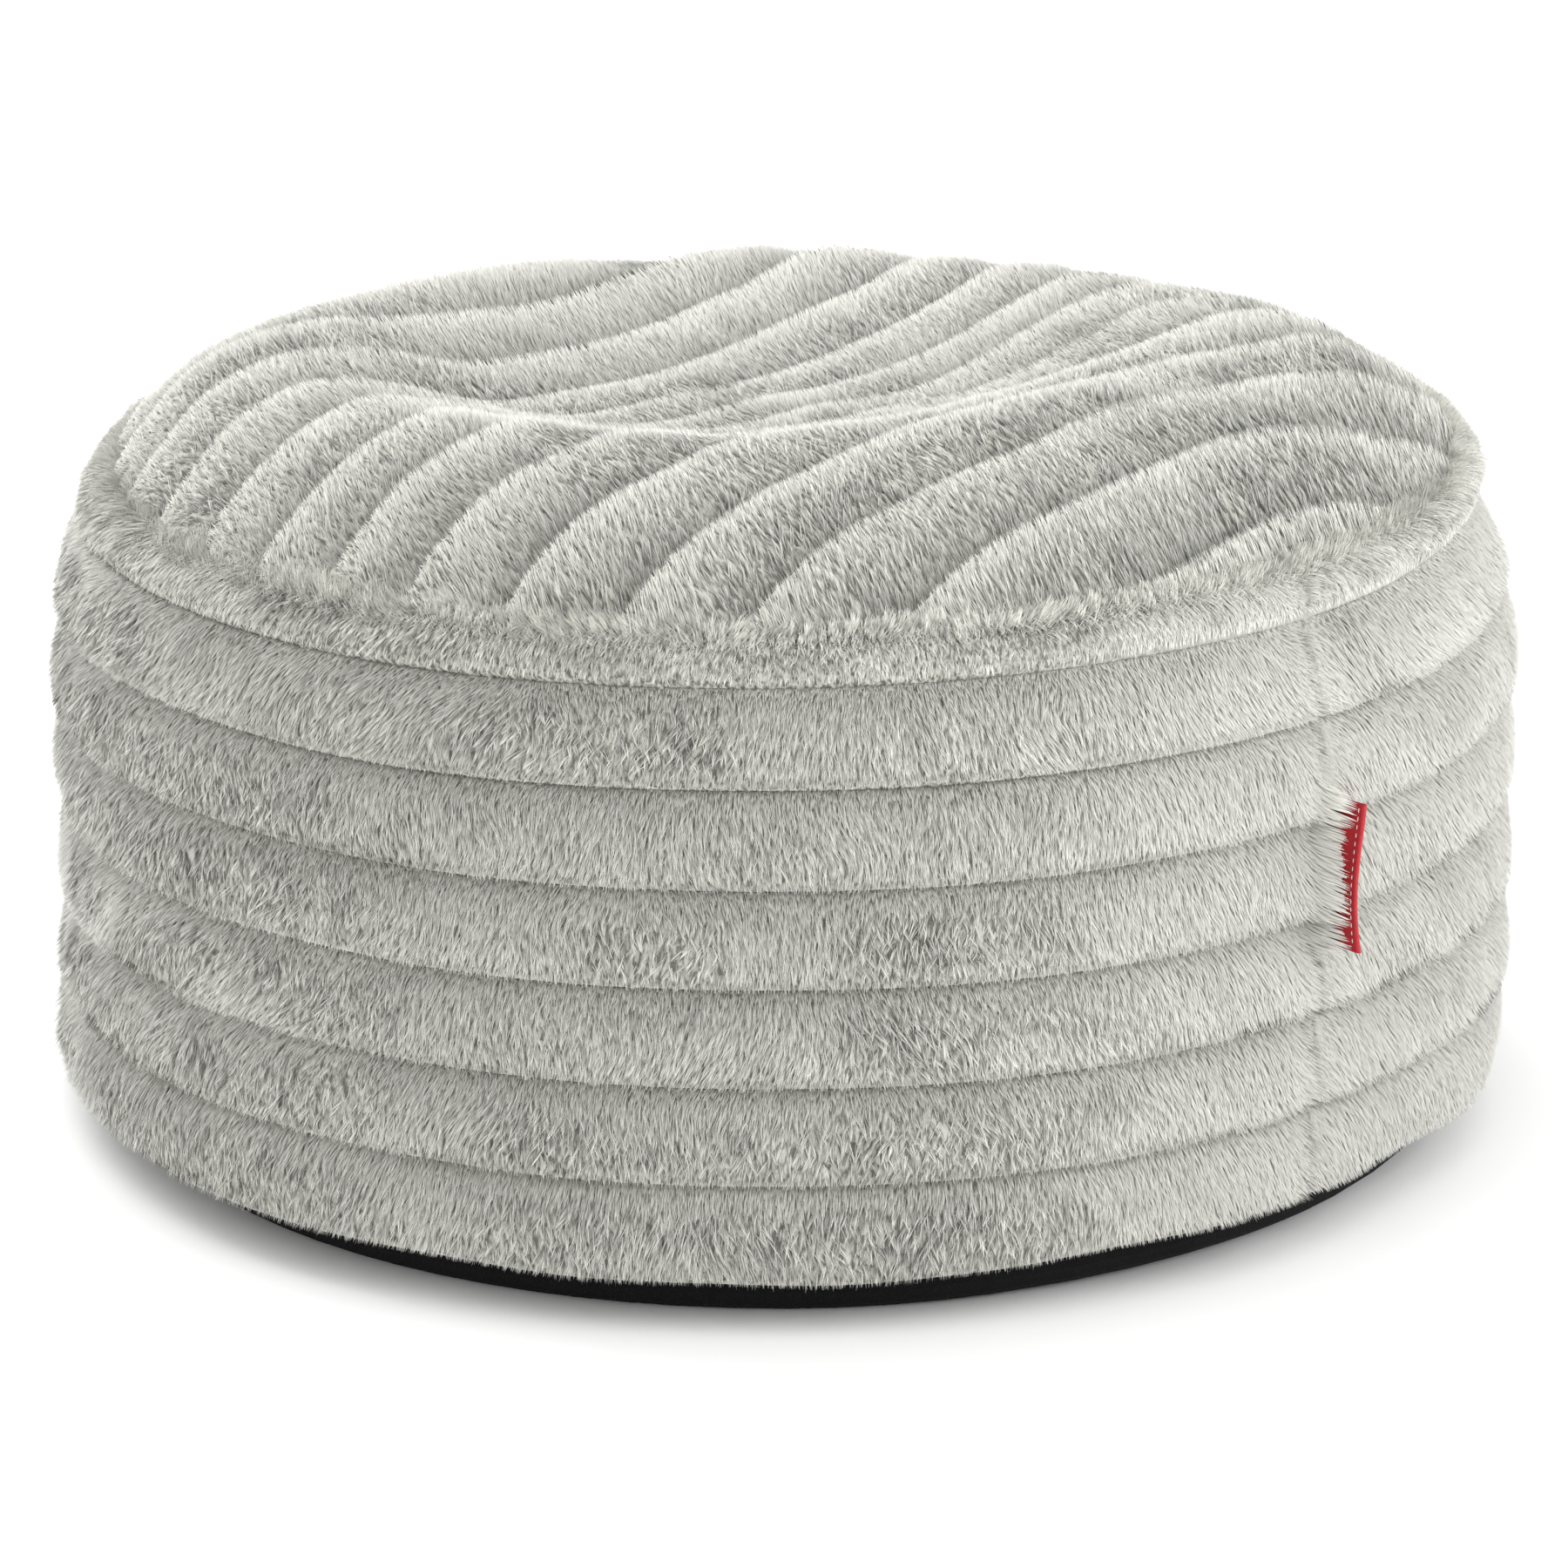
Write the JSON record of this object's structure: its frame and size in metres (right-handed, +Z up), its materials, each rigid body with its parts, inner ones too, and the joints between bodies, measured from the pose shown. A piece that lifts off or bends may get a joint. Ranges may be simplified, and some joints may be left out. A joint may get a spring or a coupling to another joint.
{
  "type": "bean bag footstool",
  "caption": "Round bead-filled footstool with a crowned, sat-in top, in ribbed long-pile fabric, with a plain woven base and a folded tape label in its vertical seam.",
  "frame": {"origin": "on the floor under the middle of the stool", "axes": "+Z up, the picture's side is -Y, and the vertical seam with its label is at the right of the front, towards +X and -Y"},
  "size_m": [0.6115, 0.6058, 0.3268],
  "materials": {
    "band_fur": "pale grey long pile in level ribs, brushed downwards",
    "top_fur": "pale grey long pile in slanting ribs, brushed towards the back left",
    "woven_black": "matt plain weave",
    "tape_red": "matt woven tape with a light running stitch"
  },
  "bodies": {
    "root": {"side_band": "band_fur", "top_panel": "top_fur", "base_panel": "woven_black", "label": "tape_red"}
  },
  "joints": []
}
